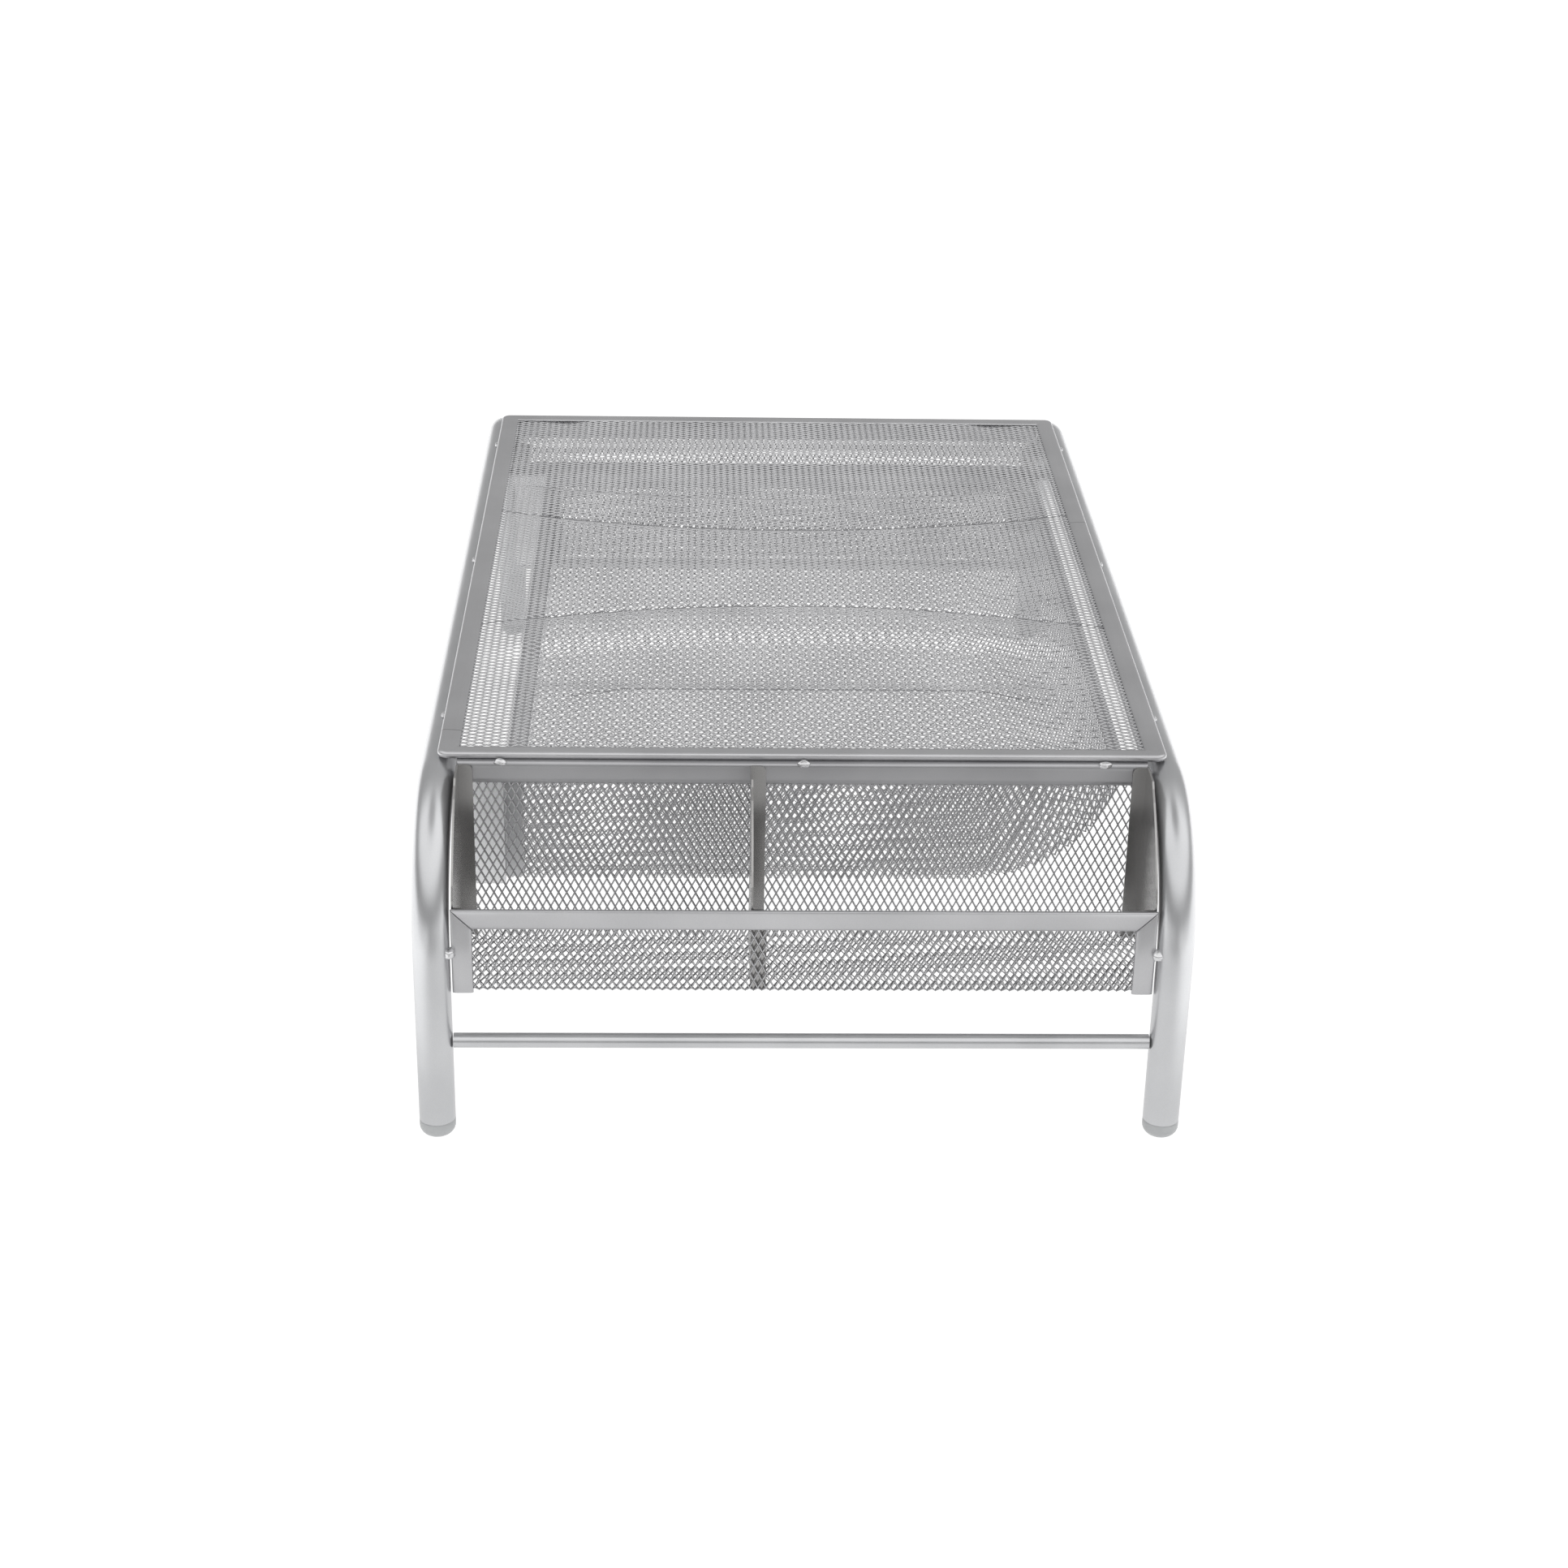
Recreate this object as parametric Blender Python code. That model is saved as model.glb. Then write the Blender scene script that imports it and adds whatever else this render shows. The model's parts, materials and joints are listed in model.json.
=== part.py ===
"""Monitor riser stand: two bent tube frames, an expanded-metal deck, a pocket on each end and a drawer.

Metres, +Z up. The origin is on the floor under the middle of the stand. X runs along the stand, Y from
front to back, and the drawer slides out towards -Y. "left" pieces lie at -X and "right" pieces at +X.
"""

import math

import bmesh
import bpy
from mathutils import Vector

MM = 0.001
GAP = 0.3 * MM

# Overall size.
LENGTH = 515 * MM
DEPTH = 295 * MM
HEIGHT = 140 * MM

# Bent tube frames.
TUBE_R = 7 * MM
TUBE_SIDES = 28
BEND_R = 52 * MM
BEND_STEPS = 13
LEG_X = LENGTH / 2 - TUBE_R
LEG_Y = DEPTH / 2 - TUBE_R
FOOT_H = 6.5 * MM
CROSSBAR_R = 2.9 * MM
CROSSBAR_NECK_R = 1.8 * MM
CROSSBAR_NECK = 1.6 * MM
CROSSBAR_Z = 41 * MM

# Folded hems: a strip of sheet wrapped around the edge of a mesh panel.
SHEET = 0.7 * MM
MESH_T = 0.6 * MM
SLOT = MESH_T + 2 * GAP
HEM_T = SLOT + 2 * SHEET
HEM_NOSE_R = 1.3 * MM
MESH_BITE = 4 * MM

# Deck.
DECK_T = 3 * MM
DECK_HALF_X = 203 * MM
DECK_HALF_Y = 140.4 * MM
SIDE_HEM_W = 8.2 * MM
END_HEM_W = 6.8 * MM
TUBE_Z = HEIGHT - DECK_T - GAP - TUBE_R

# End pockets.
POCKET_BACK_X = 204.5 * MM
POCKET_LIP_X = 250.5 * MM
POCKET_FLOOR_Z = 62.4 * MM
POCKET_HALF_Y = 132.9 * MM
POCKET_TOP_Z = HEIGHT - DECK_T + 0.2 * MM
LIP_TOP_Z = 97.4 * MM
TOP_HEM_H = 6.9 * MM
TOP_HEM_BACK_H = 9.2 * MM
LIP_HEM_W = 7.9 * MM
FOLD_R = 1.6 * MM
FOLD_CLEARANCE = 0.8
FLANGE_W = 6 * MM
PLATE_T = 0.8 * MM
PLATE_BACK_X = POCKET_BACK_X + HEM_T / 2 + GAP
PLATE_FRONT_X = POCKET_LIP_X - HEM_T / 2 - GAP
PLATE_BASE_Z = POCKET_FLOOR_Z + MESH_T / 2 + GAP
DIVIDER_Y = 20.4 * MM
PLATE_ARC_X = 170 * MM
PLATE_ARC_Z = 68 * MM
PLATE_ARC_R = 85.2 * MM
PLATE_TOP_Z = 137.4 * MM
FAR_PLATE_TOP_Z = 124 * MM
CORNER_R = 2.2 * MM

# Drawer.
DRAWER_HALF_X = 171.6 * MM
DRAWER_BACK_Y = 116 * MM
DRAWER_FLOOR_Z = 70 * MM
DRAWER_TOP_Z = 121.2 * MM
DRAWER_FRONT_R = 60 * MM
DRAWER_FRONT_ARC_Y = -70 * MM
FRONT_STEPS = 14
DRAWER_HEM_H = 7 * MM
DRAWER_BACK_HEM_H = 5 * MM
DRAWER_CORNER_W = 6 * MM
RUNNER_W = 8 * MM
RUNNER_T = 1.2 * MM
RUNNER_Z = 118.4 * MM
RUNNER_DROP = 6 * MM
RUNNER_TAB = 3 * MM
SIDE_TOP_Z = RUNNER_Z - 1.2 * MM
CORNER_TOP_Z = RUNNER_Z - RUNNER_DROP - 0.4 * MM

# Rails that carry the drawer, welded under the two tubes, and the stops behind it.
RAIL_T = 1 * MM
RAIL_TOP_Z = TUBE_Z - TUBE_R - GAP
RAIL_BOTTOM_Z = RUNNER_Z - GAP - RAIL_T
RAIL_INNER_X = DRAWER_HALF_X + 2.2 * MM
RAIL_OUTER_X = DRAWER_HALF_X + RUNNER_W + 1.6 * MM
RAIL_HALF_Y = LEG_Y
RAIL_STOP_Y = -72 * MM
STOP_BOTTOM_Z = 69 * MM
STOP_FRONT_Y = DRAWER_BACK_Y + 1.3 * MM
STOP_BACK_Y = 133.2 * MM


def clear_scene():
    for item in list(bpy.data.objects):
        bpy.data.objects.remove(item, do_unlink=True)


def make_material(name, colour, roughness, metallic, alpha=1.0):
    material = bpy.data.materials.new(name)
    material.use_nodes = True
    shader = material.node_tree.nodes["Principled BSDF"]
    shader.inputs["Base Color"].default_value = (*colour, 1.0)
    shader.inputs["Roughness"].default_value = roughness
    shader.inputs["Metallic"].default_value = metallic
    shader.inputs["Alpha"].default_value = alpha
    return material


def link_object(name, mesh):
    item = bpy.data.objects.new(name, mesh)
    bpy.context.scene.collection.objects.link(item)
    return item


def finish_object(name, mesh, colour, roughness=0.4, metallic=0.7, smooth=True):
    """Link a mesh as one named sub-part with a material of its own."""
    if smooth:
        mesh.shade_smooth()
        mesh.set_sharp_from_angle(angle=math.radians(35))
    mesh.materials.append(make_material(name + "_paint", colour, roughness, metallic))
    return link_object(name, mesh)


def skin_rings(name, rings):
    """Close a solid over rings of points: a skin between neighbours and a flat cap at both ends."""
    mesh = bpy.data.meshes.new(name)
    shape = bmesh.new()
    loops = [[shape.verts.new(point) for point in ring] for ring in rings]
    for near, far in zip(loops, loops[1:]):
        for i in range(len(near)):
            j = (i + 1) % len(near)
            shape.faces.new((near[i], near[j], far[j], far[i]))
    shape.faces.new(list(reversed(loops[0])))
    shape.faces.new(loops[-1])
    bmesh.ops.recalc_face_normals(shape, faces=shape.faces)
    shape.to_mesh(mesh)
    shape.free()
    return mesh


def arc(centre, radius, start, end, steps):
    """Points of a 2-D arc, angles in degrees, both ends included."""
    angles = [math.radians(start + (end - start) * i / steps) for i in range(steps + 1)]
    return [(centre[0] + radius * math.cos(a), centre[1] + radius * math.sin(a)) for a in angles]


def thick_path(path, thickness):
    """Outline of a sheet of even thickness that follows an open 2-D path."""
    left = []
    right = []
    last = len(path) - 1
    for i, point in enumerate(path):
        before = Vector(path[max(i - 1, 0)])
        here = Vector(point)
        after = Vector(path[min(i + 1, last)])
        into = (here - before).normalized() if i > 0 else (after - here).normalized()
        away = (after - here).normalized() if i < last else into
        tangent = (into + away).normalized()
        normal = Vector((-tangent.y, tangent.x))
        reach = thickness / 2 / max(normal.dot(Vector((-into.y, into.x))), 0.5)
        left.append(tuple(here + normal * reach))
        right.append(tuple(here - normal * reach))
    return left + right[::-1]


def extrude(name, outline, place, start, end):
    """Prism: place(u, v, w) puts the 2-D outline at w = start and w = end."""
    rings = [[place(u, v, w) for u, v in outline] for w in (start, end)]
    return skin_rings(name, rings)


def box_mesh(name, corner, opposite):
    """Box between any two opposite corners."""
    low = [min(a, b) for a, b in zip(corner, opposite)]
    high = [max(a, b) for a, b in zip(corner, opposite)]
    outline = [(low[0], low[1]), (high[0], low[1]), (high[0], high[1]), (low[0], high[1])]
    return extrude(name, outline, lambda u, v, w: (u, v, w), low[2], high[2])


def union_with(item, mesh):
    """Union another solid into an object, as one closed body."""
    other = link_object(mesh.name, mesh)
    union = item.modifiers.new("union", "BOOLEAN")
    union.operation = "UNION"
    union.solver = "EXACT"
    union.object = other
    bpy.context.view_layer.update()
    merged = bpy.data.meshes.new_from_object(item.evaluated_get(bpy.context.evaluated_depsgraph_get()))
    item.modifiers.remove(union)
    item.data = merged
    bpy.data.objects.remove(other, do_unlink=True)


SILVER = (0.62, 0.62, 0.64)
STRIP = (0.52, 0.52, 0.54)
MESH_GREY = (0.50, 0.50, 0.52)
PLATE_GREY = (0.42, 0.42, 0.44)
CAP_GREY = (0.45, 0.46, 0.47)


def tube_frame(name, side_y):
    """Inverted U: a leg, a quarter bend, the long top run, a bend and a leg."""
    stations = [(-LEG_X, FOOT_H + GAP, 90.0)]
    bend_x = LEG_X - BEND_R
    bend_z = TUBE_Z - BEND_R
    for i in range(BEND_STEPS + 1):
        turn = 90.0 * i / BEND_STEPS
        angle = math.radians(180 - turn)
        x = -bend_x + BEND_R * math.cos(angle)
        z = bend_z + BEND_R * math.sin(angle)
        stations.append((x, z, 90 - turn))
    for x, z, heading in reversed(stations[:]):
        stations.append((-x, z, -heading))
    rings = []
    for x, z, heading in stations:
        slope = math.radians(heading)
        across = Vector((-math.sin(slope), 0, math.cos(slope)))
        ring = []
        for i in range(TUBE_SIDES):
            turn = 2 * math.pi * i / TUBE_SIDES
            offset = across * (TUBE_R * math.cos(turn)) + Vector((0, TUBE_R * math.sin(turn), 0))
            ring.append(Vector((x, side_y, z)) + offset)
        rings.append(ring)
    return finish_object(name, skin_rings(name, rings), SILVER, 0.32, 0.8)


def foot_cap(name, x, y):
    """Soft end cap with a rounded rim, standing on the floor under a leg."""
    rim = 1.8 * MM
    cap_r = TUBE_R - 0.2 * MM
    profile = arc((cap_r - rim, rim), rim, 270, 360, 6)
    profile.append((cap_r, FOOT_H))
    rings = []
    for radius, z in profile:
        turns = [2 * math.pi * i / TUBE_SIDES for i in range(TUBE_SIDES)]
        rings.append([(x + radius * math.cos(t), y + radius * math.sin(t), z) for t in turns])
    return finish_object(name, skin_rings(name, rings), CAP_GREY, 0.5, 0.0)


def crossbar(name, x):
    """Thin rod between the two legs of one end, necked where it meets them."""
    reach = LEG_Y - TUBE_R - GAP
    stations = [(-reach, CROSSBAR_NECK_R), (-reach + CROSSBAR_NECK, CROSSBAR_NECK_R),
                (-reach + CROSSBAR_NECK, CROSSBAR_R), (reach - CROSSBAR_NECK, CROSSBAR_R),
                (reach - CROSSBAR_NECK, CROSSBAR_NECK_R), (reach, CROSSBAR_NECK_R)]
    sides = 20
    rings = []
    for y, radius in stations:
        turns = [2 * math.pi * i / sides for i in range(sides)]
        rings.append([(x + radius * math.cos(t), y, CROSSBAR_Z + radius * math.sin(t)) for t in turns])
    return finish_object(name, skin_rings(name, rings), SILVER, 0.35, 0.8)


def hem_outline(width, thickness, back_width=None):
    """C-shaped section in (depth from the outer edge, height), the slot for the panel opening inwards."""
    back_width = back_width or width
    half = thickness / 2
    slot = SLOT / 2
    nose = min(half, HEM_NOSE_R)
    root = SHEET + nose / 2
    outer = arc((nose, half - nose), nose, 90, 180, 5) + arc((nose, nose - half), nose, 180, 270, 5)
    back = [(back_width, -half), (back_width, -slot), (root, -slot)]
    front = [(root, slot), (width, slot), (width, half)]
    return outer + back + front


def square(d, h):
    """End cut straight across the strip."""
    return 0.0


def mitre(ratio=1.0):
    """End cut that moves inwards with the depth from the strip's outer edge."""
    return lambda d, h: d * ratio


def hem_strip(name, outline, half_length, place, start_cut, end_cut):
    """Hem strip along w, with each end cut back by its own function of the section's point."""
    near = [place(d, h, -half_length + start_cut(d, h)) for d, h in outline]
    far = [place(d, h, half_length - end_cut(d, h)) for d, h in outline]
    return finish_object(name, skin_rings(name, [near, far]), STRIP, 0.42, 0.65)


def deck():
    """Expanded-metal deck, held in four mitred hems that lie on the two tubes."""
    mid_z = HEIGHT - DECK_T / 2
    reach_x = DECK_HALF_X - MESH_BITE
    reach_y = DECK_HALF_Y - MESH_BITE
    low = (-reach_x, -reach_y, mid_z - MESH_T / 2)
    high = (reach_x, reach_y, mid_z + MESH_T / 2)
    finish_object("deck_mesh", box_mesh("deck_mesh", low, high), MESH_GREY, smooth=False)
    side = hem_outline(SIDE_HEM_W, DECK_T)
    end = hem_outline(END_HEM_W, DECK_T)
    end_mitre = SIDE_HEM_W / END_HEM_W
    cut = GAP / 2
    for name, sign in (("front", -1), ("rear", 1)):
        hem_strip(f"deck_hem_{name}", side, DECK_HALF_X - cut,
                  lambda d, h, w, s=sign: (w, s * (DECK_HALF_Y - d), mid_z + h),
                  mitre(1 / end_mitre), mitre(1 / end_mitre))
    for name, sign in (("left", -1), ("right", 1)):
        hem_strip(f"deck_hem_{name}", end, DECK_HALF_Y - cut * end_mitre,
                  lambda d, h, w, s=sign: (s * (DECK_HALF_X - d), w, mid_z + h),
                  mitre(end_mitre), mitre(end_mitre))


def pocket_mesh(name, sign):
    """One sheet folded into the pocket's back wall, floor and front lip."""
    turn = FOLD_R
    path = [(POCKET_BACK_X, POCKET_TOP_Z - 2 * SHEET)]
    path += arc((POCKET_BACK_X + turn, POCKET_FLOOR_Z + turn), turn, 180, 270, 4)
    path += arc((POCKET_LIP_X - turn, POCKET_FLOOR_Z + turn), turn, 270, 360, 4)
    path += [(POCKET_LIP_X, LIP_TOP_Z - 2 * SHEET)]
    reach = POCKET_HALF_Y - PLATE_T - 3 * GAP
    mesh = extrude(name, thick_path(path, MESH_T), lambda u, v, w: (sign * u, w, v), -reach, reach)
    finish_object(name, mesh, MESH_GREY)


def pocket_hems(end, sign):
    """Hem on the back wall's top edge, and the lip's top hem with a mitred strip down each end."""
    top = hem_outline(TOP_HEM_H, HEM_T, TOP_HEM_BACK_H)
    hem_strip(f"{end}_pocket_top_hem", top, POCKET_HALF_Y - 0.2 * MM,
              lambda d, h, w: (sign * (POCKET_BACK_X + h), w, POCKET_TOP_Z - d), square, square)
    lip = hem_outline(LIP_HEM_W, HEM_T)
    hem_strip(f"{end}_lip_hem", lip, POCKET_HALF_Y - GAP / 2,
              lambda d, h, w: (sign * (POCKET_LIP_X + h), w, LIP_TOP_Z - d), mitre(), mitre())
    base_z = POCKET_FLOOR_Z - MESH_T / 2
    half_height = (LIP_TOP_Z - base_z) / 2
    mid_z = base_z + half_height

    def clear_fold(d, h):
        return (HEM_T / 2 - h) * FOLD_CLEARANCE

    for side, k in (("front", -1), ("rear", 1)):
        hem_strip(f"{end}_lip_strip_{side}", lip, half_height - GAP / 2,
                  lambda d, h, w, k=k: (sign * (POCKET_LIP_X + h), k * (POCKET_HALF_Y - d), mid_z + w),
                  clear_fold, mitre())


def plate_outline(plate_top):
    """Side view of a pocket plate: upright back and front edges, and a rounded edge falling to the lip."""
    front_z = PLATE_ARC_Z + math.sqrt(PLATE_ARC_R ** 2 - (PLATE_FRONT_X - PLATE_ARC_X) ** 2)
    start = math.degrees(math.atan2(front_z - PLATE_ARC_Z, PLATE_FRONT_X - PLATE_ARC_X))
    crest = plate_top - CORNER_R
    end = math.degrees(math.asin((crest - PLATE_ARC_Z) / PLATE_ARC_R))
    edge = arc((PLATE_ARC_X, PLATE_ARC_Z), PLATE_ARC_R, start, end, 8)
    foot = [(PLATE_BACK_X, PLATE_BASE_Z), (PLATE_FRONT_X, PLATE_BASE_Z)]
    top = [(edge[-1][0] - CORNER_R, plate_top), (PLATE_BACK_X + CORNER_R, plate_top)]
    return foot + edge + top + [(PLATE_BACK_X, crest)]


def flange_outline(root, tip, inward, top):
    """Upright flange in (Y, Z), square at its root and rounded at its free top corner."""
    rounded = arc((0, top - CORNER_R), CORNER_R, 0, 90, 4)
    corner = [(tip + inward * (y - CORNER_R), z) for y, z in rounded]
    return [(root, PLATE_BASE_Z), (tip, PLATE_BASE_Z)] + corner + [(root, top)]


def flanged_plate(name, sign, web_y, inward, plate_top):
    """Plate across the pocket with a flange at its back and front edges, both bent the same way."""
    web_low, web_high = sorted((web_y, web_y + inward * PLATE_T))
    web = extrude(name, plate_outline(plate_top), lambda u, v, w: (sign * u, w, v), web_low, web_high)
    item = finish_object(name, web, PLATE_GREY, 0.38, 0.75)
    tip = web_y + inward * FLANGE_W
    root = web_y + inward * PLATE_T / 2
    flanges = (("back", PLATE_BACK_X, PLATE_BACK_X + PLATE_T, min(POCKET_TOP_Z, plate_top) - 0.6 * MM),
               ("front", PLATE_FRONT_X - PLATE_T, PLATE_FRONT_X, LIP_TOP_Z - 0.4 * MM))
    for label, near, far, top in flanges:
        outline = flange_outline(root, tip, inward, top)
        union_with(item, extrude(f"{name}_{label}", outline, lambda u, v, w: (sign * w, u, v), near, far))


def pocket(end, sign):
    pocket_mesh(f"{end}_pocket_mesh", sign)
    pocket_hems(end, sign)
    plate_top = PLATE_TOP_Z if end == "left" else FAR_PLATE_TOP_Z
    flanged_plate(f"{end}_plate_front", sign, -POCKET_HALF_Y + GAP, 1, plate_top)
    flanged_plate(f"{end}_plate_rear", sign, POCKET_HALF_Y - GAP, -1, plate_top)
    if end == "left":
        flanged_plate("left_divider", sign, DIVIDER_Y, -1, plate_top)


def front_arc_angle(radius, height):
    """Angle in degrees at which the drawer's front arc, of some radius, reaches a height."""
    return 180 + math.degrees(math.asin((DRAWER_FLOOR_Z + DRAWER_FRONT_R - height) / radius))


def drawer_profile(inset, top_z):
    """Path of the drawer's folded sheet in (Y, Z): back wall, floor and the curved front."""
    turn = FOLD_R
    radius = DRAWER_FRONT_R - inset
    centre = (DRAWER_FRONT_ARC_Y, DRAWER_FLOOR_Z + DRAWER_FRONT_R)
    floor_z = DRAWER_FLOOR_Z + inset
    back_y = DRAWER_BACK_Y - inset
    path = [(back_y, SIDE_TOP_Z)]
    path += arc((back_y - turn, floor_z + turn), turn, 360, 270, 4)
    path += arc(centre, radius, 270, front_arc_angle(radius, top_z), FRONT_STEPS)
    return path


def drawer_sheets():
    """Mesh sheet folded into the back wall and floor, and the curved mesh front that carries on from it."""
    path = drawer_profile(MESH_T / 2, DRAWER_TOP_Z - 2 * SHEET)
    bend_start = len(path) - FRONT_STEPS - 1
    seam = (path[bend_start][0] + GAP, path[bend_start][1])
    reach = DRAWER_HALF_X - MESH_T - GAP
    lines = {"drawer_floor_mesh": path[:bend_start] + [seam], "drawer_front_mesh": path[bend_start:]}
    for name, line in lines.items():
        mesh = extrude(name, thick_path(line, MESH_T), lambda u, v, w: (w, u, v), -reach, reach)
        finish_object(name, mesh, MESH_GREY)


def drawer_sides():
    """Flat mesh side with the drawer's outline."""
    outline = drawer_profile(0, DRAWER_TOP_Z - DRAWER_HEM_H - 2 * GAP)
    outline.append((outline[-1][0] + 1.6 * MM, SIDE_TOP_Z))
    for label, sign in (("left", -1), ("right", 1)):
        name = f"drawer_side_{label}"
        mesh = extrude(name, outline, lambda u, v, w, s=sign: (s * w, u, v),
                       DRAWER_HALF_X - MESH_T, DRAWER_HALF_X)
        finish_object(name, mesh, MESH_GREY, smooth=False)


def strip_boxes(prefix, label, sign, pieces):
    """Flat strips given by the corners of their right-hand copy, mirrored by sign."""
    for piece, (low, high) in pieces.items():
        name = f"{prefix}_{piece}_{label}"
        mesh = box_mesh(name, (sign * low[0], *low[1:]), (sign * high[0], *high[1:]))
        finish_object(name, mesh, STRIP, 0.42, 0.65)


def runner(label, sign):
    """Flat strip along a side's top edge, the level runner that rides on the rail, and its stop tab."""
    inner = DRAWER_HALF_X + GAP
    tip = inner + RUNNER_W
    top = RUNNER_Z + RUNNER_T
    back = DRAWER_BACK_Y - 0.5 * MM
    front = DRAWER_FRONT_ARC_Y - 40 * MM
    pieces = {
        "side_hem": ((inner, front, RUNNER_Z - RUNNER_DROP), (inner + SHEET, back, RUNNER_Z - GAP)),
        "runner": ((inner, front, RUNNER_Z), (tip, back, top)),
        "runner_tab": ((tip - 4 * MM, back - RUNNER_TAB, top + GAP), (tip - 1 * MM, back, top + 1 * MM)),
    }
    strip_boxes("drawer", label, sign, pieces)


def drawer_corner(label, sign):
    """Upright angle strip around a back corner of the drawer."""
    name = f"drawer_corner_{label}"
    inner_x = DRAWER_HALF_X + GAP
    inner_y = DRAWER_BACK_Y + GAP
    bottom = DRAWER_FLOOR_Z + 1 * MM
    side = box_mesh(name, (sign * inner_x, DRAWER_BACK_Y - DRAWER_CORNER_W, bottom),
                    (sign * (inner_x + SHEET), inner_y + SHEET, CORNER_TOP_Z))
    item = finish_object(name, side, STRIP, 0.42, 0.65)
    union_with(item, box_mesh(name + "_wrap", (sign * (inner_x + SHEET / 2), inner_y, bottom),
                              (sign * (inner_x - 5 * MM), inner_y + SHEET, CORNER_TOP_Z)))


def drawer_hems():
    """The pull hem along the top of the curved front, and the hem along the back wall's top edge."""
    radius = DRAWER_FRONT_R - MESH_T / 2
    angle = math.radians(front_arc_angle(DRAWER_FRONT_R, DRAWER_TOP_Z - DRAWER_HEM_H / 2))
    middle = Vector((DRAWER_FRONT_ARC_Y + radius * math.cos(angle),
                     DRAWER_FLOOR_Z + DRAWER_FRONT_R + radius * math.sin(angle)))
    up_slope = Vector((math.sin(angle), -math.cos(angle)))
    if up_slope.y < 0:
        up_slope.negate()
    across = Vector((up_slope.y, -up_slope.x))

    def place_front(d, h, w):
        spot = middle + up_slope * (DRAWER_HEM_H / 2 - d) + across * h
        return (w, spot.x, spot.y)

    hem_strip("drawer_front_hem", hem_outline(DRAWER_HEM_H, HEM_T), DRAWER_HALF_X - MESH_T - GAP,
              place_front, square, square)
    hem_strip("drawer_back_hem", hem_outline(DRAWER_BACK_HEM_H, HEM_T), DRAWER_HALF_X - 1 * MM,
              lambda d, h, w: (w, DRAWER_BACK_Y - MESH_T / 2 - h, RUNNER_Z + RUNNER_T - d), square, square)


def rail(label, sign):
    """Rail under the two tubes: a level strip under the runner, an upright strip beside it, and a stop."""
    web_x = RAIL_OUTER_X - RAIL_T
    floor_x = web_x - GAP
    floor_top = RAIL_BOTTOM_Z + RAIL_T
    stop_low = (RAIL_INNER_X + 2 * MM, RAIL_STOP_Y - 3 * MM, RUNNER_Z + RUNNER_T + 0.4 * MM)
    pieces = {
        "rail": ((RAIL_INNER_X, -RAIL_HALF_Y, RAIL_BOTTOM_Z), (floor_x, RAIL_HALF_Y, floor_top)),
        "rail_web": ((web_x, -RAIL_HALF_Y, RAIL_BOTTOM_Z), (RAIL_OUTER_X, RAIL_HALF_Y, RAIL_TOP_Z)),
        "rail_stop": (stop_low, (floor_x, RAIL_STOP_Y, RAIL_TOP_Z - GAP)),
    }
    strip_boxes("drawer", label, sign, pieces)


def back_stop(label, sign):
    """Plate hanging from the rail behind the drawer, with a bent lip that the closed drawer meets."""
    name = f"drawer_back_stop_{label}"
    top = RAIL_BOTTOM_Z - GAP
    lip_y = STOP_FRONT_Y + SHEET / 2
    web_x = RAIL_INNER_X + 1.2 * MM
    path = [(RAIL_INNER_X - 5 * MM, lip_y), (web_x, lip_y), (web_x, STOP_BACK_Y)]
    mesh = extrude(name, thick_path(path, SHEET), lambda u, v, w: (sign * u, v, w), STOP_BOTTOM_Z, top)
    finish_object(name, mesh, STRIP, 0.45, 0.6)


def build():
    clear_scene()
    tube_frame("frame_tube_front", -LEG_Y)
    tube_frame("frame_tube_rear", LEG_Y)
    for end, sx in (("left", -1), ("right", 1)):
        crossbar(f"crossbar_{end}", sx * LEG_X)
        for side, sy in (("front", -1), ("rear", 1)):
            foot_cap(f"foot_cap_{end}_{side}", sx * LEG_X, sy * LEG_Y)
    deck()
    for end, sign in (("left", -1), ("right", 1)):
        pocket(end, sign)
    drawer_sheets()
    drawer_sides()
    drawer_hems()
    for label, sign in (("left", -1), ("right", 1)):
        drawer_corner(label, sign)
        runner(label, sign)
        rail(label, sign)
        back_stop(label, sign)


build()
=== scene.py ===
"""Looks of the monitor riser stand: expanded-metal panels, welds, paint, a pale studio and the camera.

Metres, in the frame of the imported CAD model: +X along the stand, +Y to the back, +Z up.
"""

import json
import math

import bmesh
import bpy
import numpy as np
from mathutils import Matrix, Vector

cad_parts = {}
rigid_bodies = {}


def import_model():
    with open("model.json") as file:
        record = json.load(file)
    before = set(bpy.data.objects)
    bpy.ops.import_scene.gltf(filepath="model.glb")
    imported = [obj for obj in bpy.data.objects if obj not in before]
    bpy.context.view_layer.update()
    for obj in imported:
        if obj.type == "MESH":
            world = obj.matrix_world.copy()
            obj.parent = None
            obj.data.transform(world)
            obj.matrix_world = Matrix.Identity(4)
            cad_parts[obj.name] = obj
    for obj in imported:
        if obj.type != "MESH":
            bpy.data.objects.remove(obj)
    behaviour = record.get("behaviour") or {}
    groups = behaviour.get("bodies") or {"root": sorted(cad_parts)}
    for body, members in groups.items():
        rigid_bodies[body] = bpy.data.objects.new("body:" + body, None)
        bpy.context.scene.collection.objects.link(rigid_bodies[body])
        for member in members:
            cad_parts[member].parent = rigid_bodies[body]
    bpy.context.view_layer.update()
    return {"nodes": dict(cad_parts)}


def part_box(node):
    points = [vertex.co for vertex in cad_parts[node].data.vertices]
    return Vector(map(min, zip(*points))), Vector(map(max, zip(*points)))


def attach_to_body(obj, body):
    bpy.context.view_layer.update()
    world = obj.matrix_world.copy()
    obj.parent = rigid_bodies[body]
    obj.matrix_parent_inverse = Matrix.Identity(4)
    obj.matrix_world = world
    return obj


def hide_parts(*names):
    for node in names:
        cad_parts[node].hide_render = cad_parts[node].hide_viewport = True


bpy.ops.object.select_all(action="SELECT")
bpy.ops.object.delete()
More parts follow.
